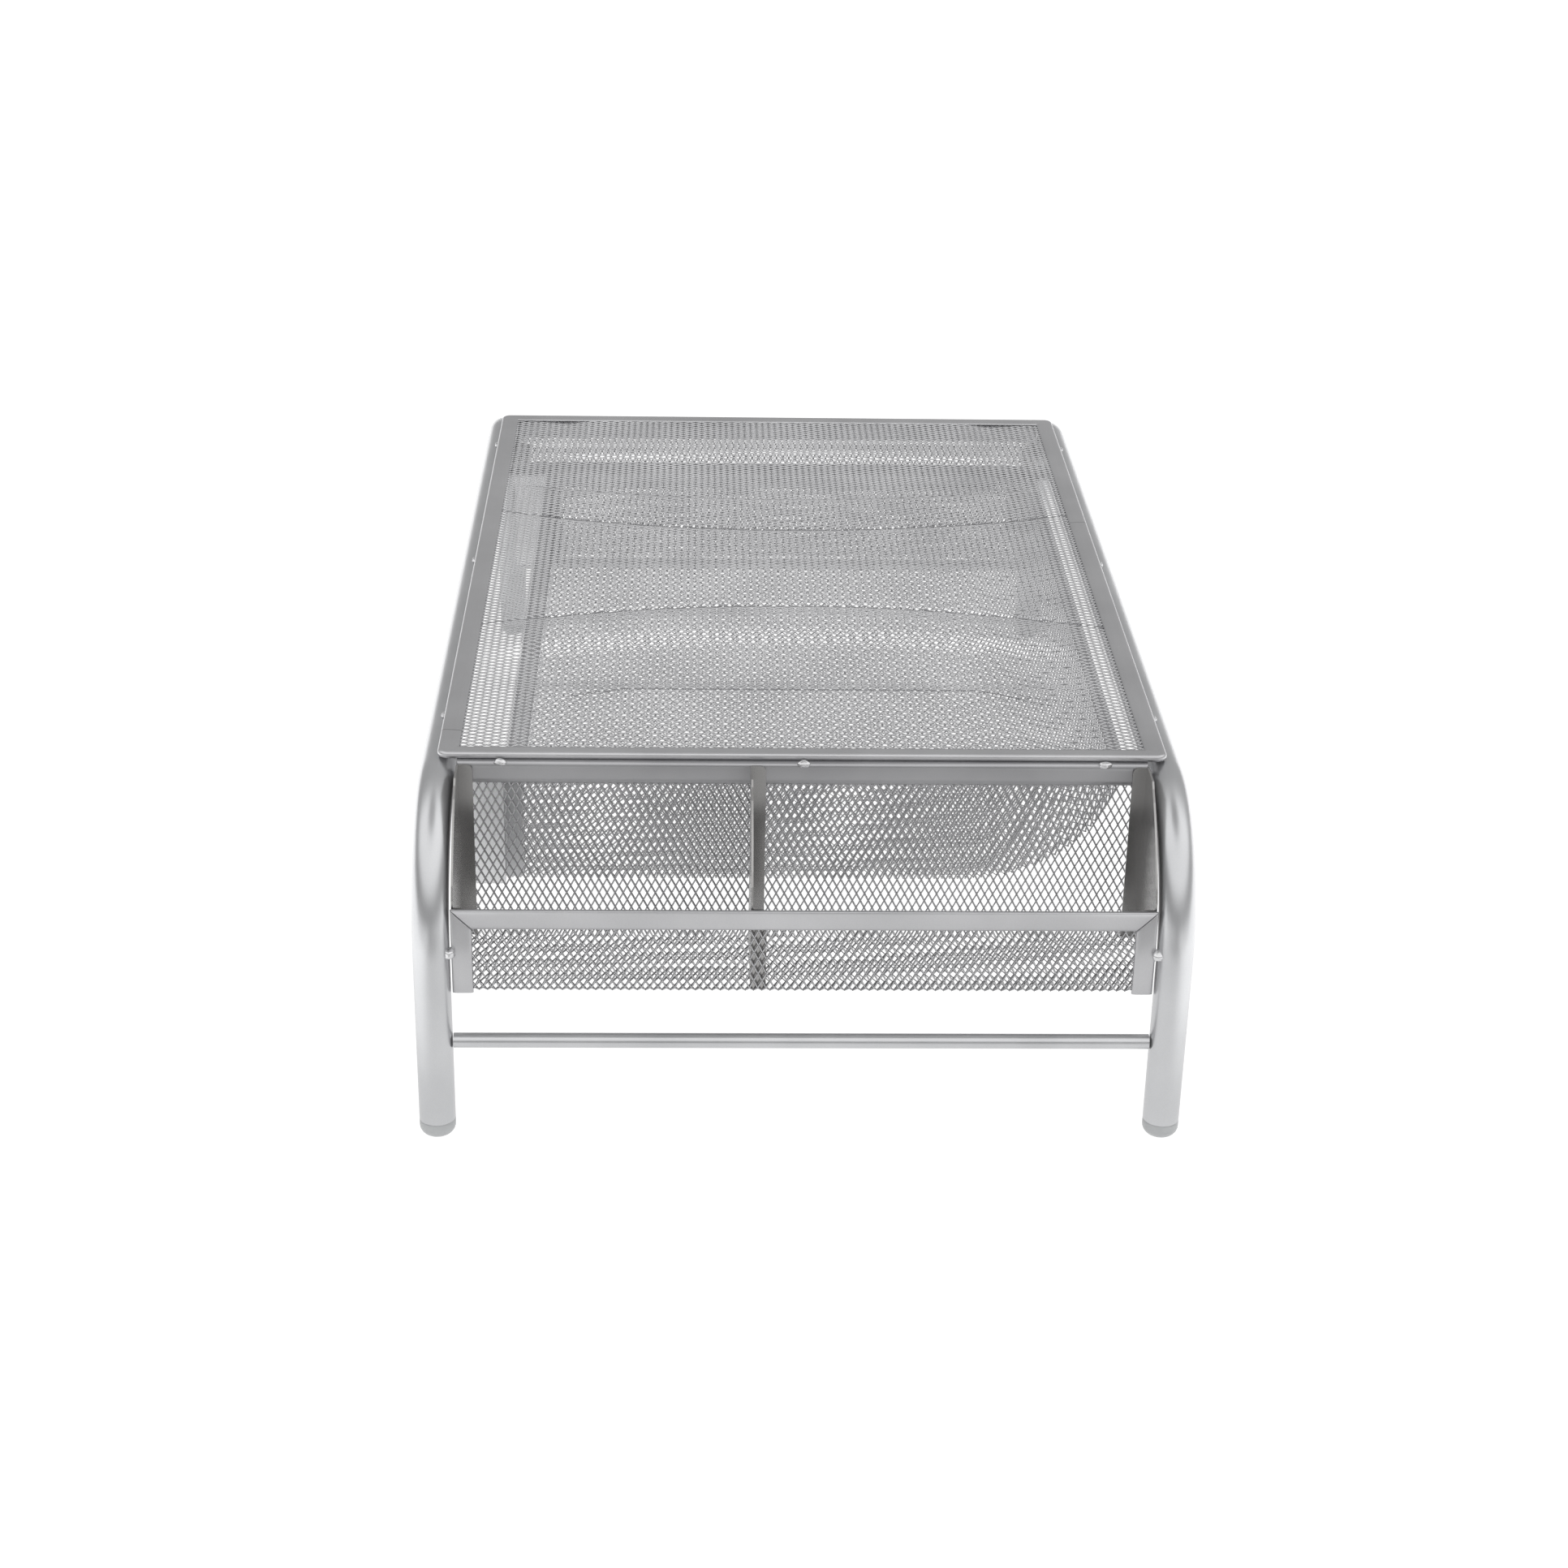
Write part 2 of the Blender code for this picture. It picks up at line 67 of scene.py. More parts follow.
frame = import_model()
nodes = frame["nodes"]
scene = bpy.context.scene

MM = 0.001
SHEET = 0.7 * MM
MESH_INSET = 0.3 * MM
FOLD_R = 1.6 * MM

# Expanded metal: short and long pitch of the diamonds, width and thickness of a strand and its lean.
SHORT_PITCH = 3.15 * MM
LONG_PITCH = 6.15 * MM
DECK_STRAND = (0.54 * MM, 0.28 * MM)
WALL_STRAND = (0.68 * MM, 0.36 * MM)
STRAND_LEAN = math.radians(50)

BEND_R = 52 * MM
DRAWER_FRONT_R = 60 * MM
RIM_CORNER_R = 4 * MM
RIM_INNER_CORNER_R = 0.5 * MM
RIM_STRIP_T = 1.1 * MM
ROLL_R = 1.5 * MM
TOP_HEM_GROWTH = 3 * MM
FOOT_R = 7 * MM
FOOT_ROUNDING = 4 * MM

# Weld beads: half sizes, and the places of those along the hems. The two at each lip sit at one height.
HEM_BEAD = (1.5 * MM, 2.6 * MM, 1.5 * MM)
HEM_BEAD_PLACES = (-116 * MM, 0, 116 * MM)
LIP_BEAD = (2.6 * MM, 2.5 * MM, 2.3 * MM)
LIP_BEAD_X = 252.6 * MM
LIP_BEAD_Z = 80 * MM
DECK_BEAD = (2.0 * MM, 0.9 * MM, 1.0 * MM)
DECK_BEAD_PLACES = (-163 * MM, 5 * MM, 163 * MM)

# Where two lengths of the deck's rim meet: (X, side towards -Y or +Y).
RIM_SEAMS = ((53 * MM, -1), (-182 * MM, 1))
RIM_MIDDLE_Y = 137 * MM
SEAM_HALF_WIDTH = 0.25 * MM

# Pressed lines in the deck: place on the middle line, and how far they bow outwards at the sides. The half
# widths give how wide the painted shade along the creases is.
NEAR_CREASE = (-48 * MM, -21 * MM)
FAR_CREASE = (44.3 * MM, 19 * MM)
SMILE_LINE = (82 * MM, 17 * MM)
BOW_REACH = 125 * MM
CREASE_DEPTH = 0.7 * MM
CREASE_SHADE_HALF_WIDTH = 0.9 * MM
# Near edge of the pan: where the painted shade line along it lies, its half width and how far out it reaches.
PAN_EDGE_SHADE_X = -139 * MM
PAN_EDGE_SHADE_HALF_WIDTH = 0.8 * MM
PAN_EDGE_SHADE_REACH = 92 * MM

# Light from the world: a soft box round the camera side, the far side, a lean to one side and the rest.
BOX_GLOW = 1.0
FAR_GLOW = 0.18
LEAN_GLOW = 0.12
BASE_GLOW = 0.24


# ---------------------------------------------------------------- node helpers

class Nodes:
    """Short way to add and join shader nodes in one tree."""

    def __init__(self, tree):
        self.tree = tree

    def add(self, kind, **settings):
        node = self.tree.nodes.new(kind)
        for key, value in settings.items():
            if hasattr(node, key):
                setattr(node, key, value)
            else:
                node.inputs[key.replace("_", " ")].default_value = value
        return node

    def join(self, source, target):
        self.tree.links.new(source, target)


def new_material(name):
    material = bpy.data.materials.new(name)
    material.use_nodes = True
    shader = material.node_tree.nodes["Principled BSDF"]
    return material, Nodes(material.node_tree), shader


def span(nodes_, source, low, high):
    """Map a 0..1 value to low..high."""
    node = nodes_.add("ShaderNodeMapRange")
    node.inputs["To Min"].default_value = low
    node.inputs["To Max"].default_value = high
    nodes_.join(source, node.inputs["Value"])
    return node.outputs["Result"]


def tint(nodes_, factor, dark, light):
    """Mix two colours by a 0..1 value."""
    node = nodes_.add("ShaderNodeMix", data_type="RGBA")
    node.inputs[6].default_value = (*dark, 1)
    node.inputs[7].default_value = (*light, 1)
    nodes_.join(factor, node.inputs[0])
    return node.outputs[2]


def noise(nodes_, coordinates, scale, detail=2.0, stretch=(1, 1, 1)):
    mapping = nodes_.add("ShaderNodeMapping")
    mapping.inputs["Scale"].default_value = stretch
    texture = nodes_.add("ShaderNodeTexNoise")
    texture.inputs["Scale"].default_value = scale
    texture.inputs["Detail"].default_value = detail
    nodes_.join(coordinates, mapping.inputs["Vector"])
    nodes_.join(mapping.outputs["Vector"], texture.inputs["Vector"])
    return texture.outputs["Fac"]


def silver_paint(name, dark, light, roughness, metallic=0.85, streak=(1, 1, 1), bump=0.12, seams=()):
    """Satin silver paint: cloudy tone, metal flake, slightly uneven gloss and an orange-peel bump."""
    material, tree, shader = new_material(name)
    place = tree.add("ShaderNodeTexCoord").outputs["Object"]
    cloud = noise(tree, place, 28, 3, streak)
    flake = noise(tree, place, 2600, 1)
    blend = tree.add("ShaderNodeMath", operation="MULTIPLY_ADD")
    blend.inputs[1].default_value = 0.35
    tree.join(flake, blend.inputs[0])
    tree.join(cloud, blend.inputs[2])
    level = tree.add("ShaderNodeMapRange", clamp=True)
    level.inputs["From Min"].default_value = 0.45
    level.inputs["From Max"].default_value = 0.95
    tree.join(blend.outputs[0], level.inputs["Value"])
    colour = tint(tree, level.outputs["Result"], dark, light)
    for seam_x, side in seams:
        colour = seam_line(tree, place, colour, seam_x, side)
    tree.join(colour, shader.inputs["Base Color"])
    tree.join(span(tree, cloud, roughness - 0.05, roughness + 0.05), shader.inputs["Roughness"])
    shader.inputs["Metallic"].default_value = metallic
    peel = tree.add("ShaderNodeBump")
    peel.inputs["Strength"].default_value = bump
    peel.inputs["Distance"].default_value = 0.05 * MM
    tree.join(noise(tree, place, 900, 2), peel.inputs["Height"])
    tree.join(peel.outputs["Normal"], shader.inputs["Normal"])
    return material


def seam_line(tree, place, colour, seam_x, side):
    """Darken a hairline across the rim, on its side towards -Y or +Y, where two lengths of it meet."""
    parts = tree.add("ShaderNodeSeparateXYZ")
    tree.join(place, parts.inputs[0])
    near = tree.add("ShaderNodeMath", operation="COMPARE")
    near.inputs[1].default_value = seam_x
    near.inputs[2].default_value = SEAM_HALF_WIDTH
    tree.join(parts.outputs["X"], near.inputs[0])
    on_side = tree.add("ShaderNodeMath", operation="COMPARE")
    on_side.inputs[1].default_value = side * RIM_MIDDLE_Y
    on_side.inputs[2].default_value = 6 * MM
    tree.join(parts.outputs["Y"], on_side.inputs[0])
    both = tree.add("ShaderNodeMath", operation="MULTIPLY")
    tree.join(near.outputs[0], both.inputs[0])
    tree.join(on_side.outputs[0], both.inputs[1])
    mix = tree.add("ShaderNodeMix", data_type="RGBA")
    mix.inputs[7].default_value = (0.27, 0.27, 0.275, 1)
    tree.join(both.outputs[0], mix.inputs[0])
    tree.join(colour, mix.inputs[6])
    return mix.outputs[2]


def soft_plastic(name):
    """Cloudy translucent grey plastic."""
    material, tree, shader = new_material(name)
    place = tree.add("ShaderNodeTexCoord").outputs["Object"]
    cloud = noise(tree, place, 220, 2)
    tree.join(tint(tree, cloud, (0.42, 0.43, 0.435), (0.51, 0.52, 0.525)), shader.inputs["Base Color"])
    tree.join(span(tree, cloud, 0.3, 0.42), shader.inputs["Roughness"])
    shader.inputs["Subsurface Weight"].default_value = 0.25
    shader.inputs["Subsurface Radius"].default_value = (0.002, 0.002, 0.002)
    return material


# ---------------------------------------------------------------- materials

tube_paint = silver_paint("tube_silver", (0.52, 0.525, 0.535), (0.61, 0.615, 0.625), 0.3)
strip_paint = silver_paint("strip_silver", (0.48, 0.48, 0.49), (0.57, 0.57, 0.58), 0.36)
rim_paint = silver_paint("rim_silver", (0.5, 0.5, 0.51), (0.59, 0.59, 0.6), 0.34,
                         seams=RIM_SEAMS)
# Darker copy of the strip paint for the pockets' top hems: painted shade under the deck's rim.
top_hem_shade_paint = silver_paint("top_hem_painted_shade", (0.36, 0.36, 0.37), (0.44, 0.44, 0.45), 0.3)
plate_paint = silver_paint("plate_silver", (0.33, 0.325, 0.32), (0.42, 0.415, 0.41), 0.24, 0.92, (1, 1, 0.25))
rail_paint = silver_paint("rail_silver", (0.42, 0.42, 0.43), (0.5, 0.5, 0.51), 0.42)
# Very light paint for the drawer's back stop: painted light, as bright as if the floor lit it fully under the
# pocket.
stop_lit_paint = silver_paint("stop_painted_light", (0.78, 0.78, 0.79), (0.88, 0.88, 0.89), 0.45, 0.5)
weld_paint = silver_paint("weld_silver", (0.62, 0.62, 0.63), (0.78, 0.78, 0.79), 0.22, bump=0.5)
deck_paint = silver_paint("deck_mesh_silver", (0.54, 0.54, 0.55), (0.65, 0.65, 0.66), 0.24, 0.88)
# Darker paint for the strands in the deck's pressed lines: painted shade in the creases.
crease_shade_paint = silver_paint("crease_painted_shade", (0.3, 0.3, 0.31), (0.38, 0.38, 0.39), 0.4)
wall_paint = silver_paint("wall_mesh_silver", (0.43, 0.43, 0.44), (0.55, 0.55, 0.56), 0.22, 0.92)
foot_plastic = soft_plastic("foot_plastic")


def give_material(item, material):
    item.data.materials.clear()
    item.data.materials.append(material)


def paint_cad_nodes():
    """Give each CAD node the first look whose key is in its name."""
    looks = (
        ("frame_tube", tube_paint, "tube"),
        ("crossbar", tube_paint, "tube"),
        ("plate", plate_paint, "plate"),
        ("divider", plate_paint, "plate"),
        # The back stop's light paint is painted light.
        ("back_stop", stop_lit_paint, "strip"),
        ("rail", rail_paint, "strip"),
        ("mesh", wall_paint, "mesh"),
        ("foot_cap", foot_plastic, "foot"),
        ("", strip_paint, "strip"),
    )
    for name, item in nodes.items():
        material, slot = next((m, s) for key, m, s in looks if key in name)
        give_material(item, material)


# ---------------------------------------------------------------- shared mesh helpers

def attach(piece, body, slot, *stands_for):
    """Ride on a body and stand for some CAD nodes; slot is not used."""
    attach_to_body(piece, body)
    if stands_for:
        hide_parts(*stands_for)


def arc_points(centre, radius, start, end, steps):
    angles = np.radians(np.linspace(start, end, steps + 1))
    return np.stack([centre[0] + radius * np.cos(angles), centre[1] + radius * np.sin(angles)], axis=1)


def bridge(shape, rings):
    """Join each ring of vertices to the next with quads."""
    count = len(rings[0])
    for near, far in zip(rings, rings[1:]):
        for k in range(count):
            shape.faces.new((near[k], near[(k + 1) % count], far[(k + 1) % count], far[k]))


def finish_piece(name, shape, paint, crease=40):
    """Turn a bmesh into a smooth-shaded object with one paint and with its sharp corners kept."""
    bmesh.ops.recalc_face_normals(shape, faces=shape.faces)
    mesh = bpy.data.meshes.new(name)
    shape.to_mesh(mesh)
    shape.free()
    mesh.shade_smooth()
    mesh.set_sharp_from_angle(angle=math.radians(crease))
    mesh.materials.append(paint)
    item = bpy.data.objects.new(name, mesh)
    scene.collection.objects.link(item)
    return item


# ---------------------------------------------------------------- expanded metal

def clip_strands(start, end, low, high):
    """Cut 2-D strands to a rectangle; those outside it are dropped."""
    step = end - start
    enter = np.zeros(len(start))
    leave = np.ones(len(start))
    for axis in range(2):
        move = np.where(np.abs(step[:, axis]) < 1e-12, 1e-12, step[:, axis])
        to_low = (low[axis] - start[:, axis]) / move
        to_high = (high[axis] - start[:, axis]) / move
        enter = np.maximum(enter, np.minimum(to_low, to_high))
        leave = np.minimum(leave, np.maximum(to_low, to_high))
    keep = leave - enter > 0.08
    enter = enter[keep, None]
    leave = leave[keep, None]
    start = start[keep]
    step = step[keep]
    return start + step * enter, start + step * leave


def diamond_strands(low, high, turned):
    """Both families of strands of a diamond mesh over a rectangle; turned lays the long way along u."""
    half_u, half_v = (LONG_PITCH / 2, SHORT_PITCH / 2) if turned else (SHORT_PITCH / 2, LONG_PITCH / 2)
    columns = np.arange(-1, math.ceil((high[0] - low[0]) / half_u) + 2)
    rows = np.arange(-1, math.ceil((high[1] - low[1]) / half_v) + 1)
    i, j = [grid.ravel() for grid in np.meshgrid(columns, rows)]
    even = (i + j) % 2 == 0
    start = np.stack([low[0] + i[even] * half_u, low[1] + j[even] * half_v], axis=1)
    starts = np.concatenate([start, start])
    ends = np.concatenate([start + (half_u, half_v), start + (-half_u, half_v)])
    return clip_strands(starts, ends, np.array(low), np.array(high))


def unit(vectors):
    return vectors / np.linalg.norm(vectors, axis=1, keepdims=True)


def expanded_metal(name, low, high, surface, strand=WALL_STRAND, turned=False, paints=None, second=None):
    """Panel of tilted strands; surface(u, v) gives points, normals and the direction along u.

    second(u, v) says which strands take the second of the two paints.
    """
    width, thickness = strand
    start, end = diamond_strands(low, high, turned)
    middle = (start + end) / 2
    a = surface(start[:, 0], start[:, 1])[0]
    b = surface(end[:, 0], end[:, 1])[0]
    _, normal, across = surface(middle[:, 0], middle[:, 1])
    if turned:
        across = np.cross(normal, across)
    along = unit(b - a)
    side = unit(np.cross(normal, along))
    side *= np.sign(np.sum(side * across, axis=1, keepdims=True))
    up = unit(np.cross(along, side))
    up *= np.sign(np.sum(up * normal, axis=1, keepdims=True))
    wide = (side * math.cos(STRAND_LEAN) + up * math.sin(STRAND_LEAN)) * width / 2
    thick = (up * math.cos(STRAND_LEAN) - side * math.sin(STRAND_LEAN)) * thickness / 2
    overlap = along * width * 0.3
    corners = []
    for point in (a - overlap, b + overlap):
        for across_sign, up_sign in ((-1, -1), (1, -1), (1, 1), (-1, 1)):
            corners.append(point + wide * across_sign + thick * up_sign)
    vertices = np.stack(corners, axis=1).reshape(-1, 3)
    loops = np.array([(k, (k + 1) % 4, (k + 1) % 4 + 4, k + 4) for k in range(4)])
    faces = (np.arange(len(a))[:, None, None] * 8 + loops[None]).reshape(-1, 4)
    mesh = bpy.data.meshes.new(name)
    mesh.vertices.add(len(vertices))
    mesh.vertices.foreach_set("co", vertices.astype(np.float32).ravel())
    mesh.loops.add(faces.size)
    mesh.loops.foreach_set("vertex_index", faces.astype(np.int32).ravel())
    mesh.polygons.add(len(faces))
    mesh.polygons.foreach_set("loop_start", np.arange(0, faces.size, 4, dtype=np.int32))
    if second is not None:
        marks = second(middle[:, 0], middle[:, 1]).astype(np.int32)
        mesh.polygons.foreach_set("material_index", np.repeat(marks, 4))
    mesh.update(calc_edges=True)
    for paint in paints or (wall_paint,):
        mesh.materials.append(paint)
    item = bpy.data.objects.new(name, mesh)
    scene.collection.objects.link(item)
    return item


def smooth(x, low, high):
    """Smooth step from 0 at low to 1 at high; low may be above high."""
    t = np.clip((x - low) / (high - low), 0, 1)
    return t * t * (3 - 2 * t)


def bowed(line, y):
    """X of a pressed line at some Y."""
    return line[0] + line[1] * (y / BOW_REACH) ** 2


def deck_relief(x, y):
    """Height of the pressed shape: bowed creases beside the middle, and a shallow pan beyond each."""
    near = bowed(NEAR_CREASE, y) - x
    inside = smooth(np.abs(y), 128 * MM, 104 * MM)
    rise = smooth(near, 0, 17 * MM) * 1.3 * MM
    in_pan = smooth(near, 27 * MM, 43 * MM)
    fall = in_pan * 2.5 * MM
    back_up = smooth(-x, 126 * MM, 142 * MM) * 1.2 * MM
    near_shape = (rise - fall + back_up * in_pan) * inside
    far = x - bowed(FAR_CREASE, y)
    smile = x - bowed(SMILE_LINE, y)
    lift = smooth(far, 0, 20 * MM) * 0.7 * MM
    drop = smooth(smile, -1 * MM, 5 * MM) * 1.9 * MM
    end_rise = smooth(x, 135 * MM, 151 * MM) * 1.6 * MM * smooth(np.abs(y), 108 * MM, 94 * MM)
    far_shape = (lift - drop + end_rise) * inside
    dip = np.exp(-(near / (1.6 * MM)) ** 2) + np.exp(-(far / (1.6 * MM)) ** 2)
    return near_shape + far_shape - CREASE_DEPTH * dip * inside


def crease_shade_mask(x, y):
    """Strands that lie in a pressed line or on the pan's near edge, which take the painted shade."""
    near = np.abs(x - bowed(NEAR_CREASE, y)) < CREASE_SHADE_HALF_WIDTH
    far = np.abs(x - bowed(FAR_CREASE, y)) < CREASE_SHADE_HALF_WIDTH
    pan_edge = PAN_EDGE_SHADE_X - 7 * MM * smooth(np.abs(y), 70 * MM, PAN_EDGE_SHADE_REACH)
    edge = (np.abs(x - pan_edge) < PAN_EDGE_SHADE_HALF_WIDTH) & (np.abs(y) < PAN_EDGE_SHADE_REACH)
    return near | far | edge


def deck_surface(mid_z):
    """Deck panel: u along X, the short way of the diamonds, and v along Y."""
    def surface(u, v):
        step = 0.5 * MM
        slope_u = (deck_relief(u + step, v) - deck_relief(u - step, v)) / (2 * step)
        slope_v = (deck_relief(u, v + step) - deck_relief(u, v - step)) / (2 * step)
        ones = np.ones_like(u)
        points = np.stack([u, v, mid_z + deck_relief(u, v)], axis=1)
        normals = unit(np.stack([-slope_u, -slope_v, ones], axis=1))
        return points, normals, np.stack([ones, 0 * ones, slope_u], axis=1)
    return surface


def deck_panel():
    low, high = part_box("deck_mesh")
    mid_z = (low.z + high.z) / 2
    # Strands in the pressed lines take the second paint, a painted shade.
    panel = expanded_metal("deck_panel", (low.x, low.y), (high.x, high.y), deck_surface(mid_z), DECK_STRAND,
                           paints=(deck_paint, crease_shade_paint), second=crease_shade_mask)
    attach(panel, "stand", "mesh", "deck_mesh")


def folded_surface(path, to_world):
    """Sheet bent along a 2-D path: v runs along the path and u across it."""
    steps = np.linalg.norm(np.diff(path, axis=0), axis=1)
    travel = np.concatenate([[0], np.cumsum(steps)])

    def surface(u, v):
        def at(distance):
            return np.stack([np.interp(distance, travel, path[:, k]) for k in range(2)], axis=1)
        ahead = at(np.clip(v + 0.4 * MM, 0, travel[-1])) - at(np.clip(v - 0.4 * MM, 0, travel[-1]))
        tangent = unit(ahead)
        normal = np.stack([-tangent[:, 1], tangent[:, 0]], axis=1)
        ones = np.ones_like(u)
        return to_world(at(v), u), to_world(normal, 0 * ones), to_world(np.zeros((len(u), 2)), ones)
    return surface, travel[-1]


def pocket_panel(end, sign):
    """One expanded sheet folded into the pocket's back wall, floor and lip."""
    name = f"{end}_pocket_mesh"
    low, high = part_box(name)
    half = (high.y - low.y) / 2
    back, lip = sorted((abs(low.x), abs(high.x)))
    back += MESH_INSET
    lip -= MESH_INSET
    floor = low.z + MESH_INSET
    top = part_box(f"{end}_pocket_top_hem")[1].z - 2 * SHEET
    lip_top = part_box(f"{end}_lip_hem")[1].z - 2 * SHEET
    path = np.concatenate([
        [(back, top)],
        arc_points((back + FOLD_R, floor + FOLD_R), FOLD_R, 180, 270, 6),
        arc_points((lip - FOLD_R, floor + FOLD_R), FOLD_R, 270, 360, 6),
        [(lip, lip_top)],
    ])

    def to_world(flat, across):
        return np.stack([sign * flat[:, 0], across, flat[:, 1]], axis=1)

    surface, length = folded_surface(path, to_world)
    reach = half + 0.9 * MM
    panel = expanded_metal(f"{end}_pocket_panel", (-reach, 0), (reach, length), surface)
    attach(panel, "stand", "mesh", name)


def drawer_front_centre():
    """Centre in (Y, Z) of the drawer's curved front."""
    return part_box("drawer_front_mesh")[1].y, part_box("drawer_floor_mesh")[0].z + DRAWER_FRONT_R


def drawer_path():
    """The drawer's section in (Y, Z): back wall, floor and the curved front."""
    floor_low, floor_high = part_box("drawer_floor_mesh")
    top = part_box("drawer_front_mesh")[1].z
    floor = floor_low.z + MESH_INSET
    back = floor_high.y - MESH_INSET
    centre = drawer_front_centre()
    radius = DRAWER_FRONT_R - MESH_INSET
    last = 180 + math.degrees(math.asin((centre[1] - top) / radius))
    return np.concatenate([
        [(back, floor_high.z)],
        arc_points((back - FOLD_R, floor + FOLD_R), FOLD_R, 360, 270, 6),
        arc_points(centre, radius, 270, last, 28),
    ])


def drawer_panels():
    path = drawer_path()
    low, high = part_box("drawer_floor_mesh")

    def to_world(flat, across):
        return np.stack([across, flat[:, 0], flat[:, 1]], axis=1)

    surface, length = folded_surface(path, to_world)
    sheet = expanded_metal("drawer_panel", (low.x, 0), (high.x, length), surface, turned=True,
                           paints=(deck_paint,))
    attach(sheet, "drawer", "mesh", "drawer_floor_mesh", "drawer_front_mesh")
    for side in ("left", "right"):
        drawer_side_panel(side)


def drawer_side_panel(side):
    """Flat expanded side, cut to the drawer's curved front."""
    name = f"drawer_side_{side}"
    low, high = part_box(name)
    x = (low.x + high.x) / 2

    def surface(u, v):
        ones = np.ones_like(u)
        zeros = np.zeros_like(u)
        points = np.stack([x * ones, u, v], axis=1)
        return points, np.stack([ones, zeros, zeros], axis=1), np.stack([zeros, ones, zeros], axis=1)

    panel = expanded_metal(f"{name}_panel", (low.y, low.z), (high.y, high.z), surface, paints=(deck_paint,))
    trim_side(panel)
    attach(panel, "drawer", "mesh", name)


def trim_side(panel):
    """Drop the strands of a side panel that lie outside the drawer's curved front."""
    centre_y, centre_z = drawer_front_centre()
    radius = DRAWER_FRONT_R - 0.2 * MM
    shape = bmesh.new()
    shape.from_mesh(panel.data)
    out = [vertex for vertex in shape.verts
           if vertex.co.y < centre_y and math.hypot(vertex.co.y - centre_y, vertex.co.z - centre_z) > radius]
    bmesh.ops.delete(shape, geom=out, context="VERTS")
    shape.to_mesh(panel.data)
    shape.free()


# ---------------------------------------------------------------- tubes and rods

def swept(name, path, radius, sides):
    """Smooth round bar along a path of points."""
    path = [Vector(point) for point in path]
    shape = bmesh.new()
    rings = []
    for i, point in enumerate(path):
        ahead = (path[min(i + 1, len(path) - 1)] - path[max(i - 1, 0)]).normalized()
        side = Vector((0, 1, 0)) if abs(ahead.y) < 0.9 else Vector((1, 0, 0))
        other = ahead.cross(side).normalized()
        ring = []
        for k in range(sides):
            turn = 2 * math.pi * k / sides
            ring.append(shape.verts.new(point + (side * math.cos(turn) + other * math.sin(turn)) * radius))
        rings.append(ring)
    bridge(shape, rings)
    shape.faces.new(list(reversed(rings[0])))
    shape.faces.new(rings[-1])
    return finish_piece(name, shape, tube_paint)


def bent_tubes():
    """Smooth versions of the two bent frame tubes."""
    for side in ("front", "rear"):
        low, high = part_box(f"frame_tube_{side}")
        radius = (high.y - low.y) / 2
        y = (high.y + low.y) / 2
        leg = high.x - radius
        top = high.z - radius
        left = []
        for angle in np.radians(np.linspace(0, 90, 33)):
            x = -leg + BEND_R - BEND_R * math.cos(angle)
            left.append((x, y, top - BEND_R + BEND_R * math.sin(angle)))
        right = [(-x, y, z) for x, y, z in reversed(left)]
        path = [(-leg, y, low.z), *left, *right, (leg, y, low.z)]
        tube = swept(f"frame_tube_{side}_smooth", path, radius, 56)
        attach(tube, "stand", "tube", f"frame_tube_{side}")


def crossbars():
    """Round rods between the legs."""
    for end in ("left", "right"):
        low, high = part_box(f"crossbar_{end}")
        x = (low.x + high.x) / 2
        z = (low.z + high.z) / 2
        radius = (high.z - low.z) / 2
        rod = swept(f"crossbar_{end}_smooth", [(x, low.y, z), (x, high.y, z)], radius, 32)
        attach(rod, "stand", "tube", f"crossbar_{end}")


# ---------------------------------------------------------------- rim and hems

def rounded_loop(half_x, half_y, radius, z, steps=8):
    """Points round a rectangle with rounded corners, at one height."""
    points = []
    for quarter, (sx, sy) in enumerate(((1, 1), (-1, 1), (-1, -1), (1, -1))):
        for k in range(steps + 1):
            turn = math.radians(90 * quarter + 90 * k / steps)
            x = sx * (half_x - radius) + radius * math.cos(turn)
            points.append((x, sy * (half_y - radius) + radius * math.sin(turn), z))
    return points


def deck_rim():
    """One rolled rim round the deck: a round outer edge and a flat strip that dips slightly inwards."""
    low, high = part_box("deck_hem_front")
    end_low, end_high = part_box("deck_hem_right")
    half_x, half_y = end_high.x, abs(low.y)
    side_width = high.y - low.y
    end_scale = (end_high.x - end_low.x) / side_width
    top = high.z
    under = top - RIM_STRIP_T
    section = [(ROLL_R - ROLL_R * math.sin(a), top - ROLL_R - ROLL_R * math.cos(a))
               for a in np.radians(np.linspace(0, 180, 13))]
    section += [(ROLL_R + 1.2 * MM, top - 0.02 * MM), (side_width * 0.6, top - 0.12 * MM),
                (side_width - 0.7 * MM, top - 0.32 * MM), (side_width - 0.1 * MM, top - 0.6 * MM),
                (side_width, top - 0.9 * MM), (side_width - 0.2 * MM, under), (2 * ROLL_R, under)]
    shape = bmesh.new()
    loops = []
    for inset, z in section:
        corner = max(RIM_CORNER_R - inset, RIM_INNER_CORNER_R)
        loop = rounded_loop(half_x - inset * end_scale, half_y - inset, corner, z)
        loops.append([shape.verts.new(point) for point in loop])
    bridge(shape, loops + loops[:1])
    rim = finish_piece("deck_rim", shape, rim_paint, 50)
    attach(rim, "stand", "strip", *[f"deck_hem_{side}" for side in ("front", "rear", "left", "right")])


def mitre_trim(name, point, place):
    """How far a bar's end is cut back at this point, for the 45 degree joints of the lip's hem and strips."""
    low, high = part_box(name)
    if "lip_hem" in name:
        return high.z - point.z
    if "lip_strip" in name and place > 0:
        return max(abs(low.y), abs(high.y)) - abs(point.y)
    return 0.0


def softened(turn_part):
    """Cosine or sine bent outwards, which makes an ellipse a softly rounded rectangle."""
    return math.copysign(abs(turn_part) ** 0.5, turn_part)


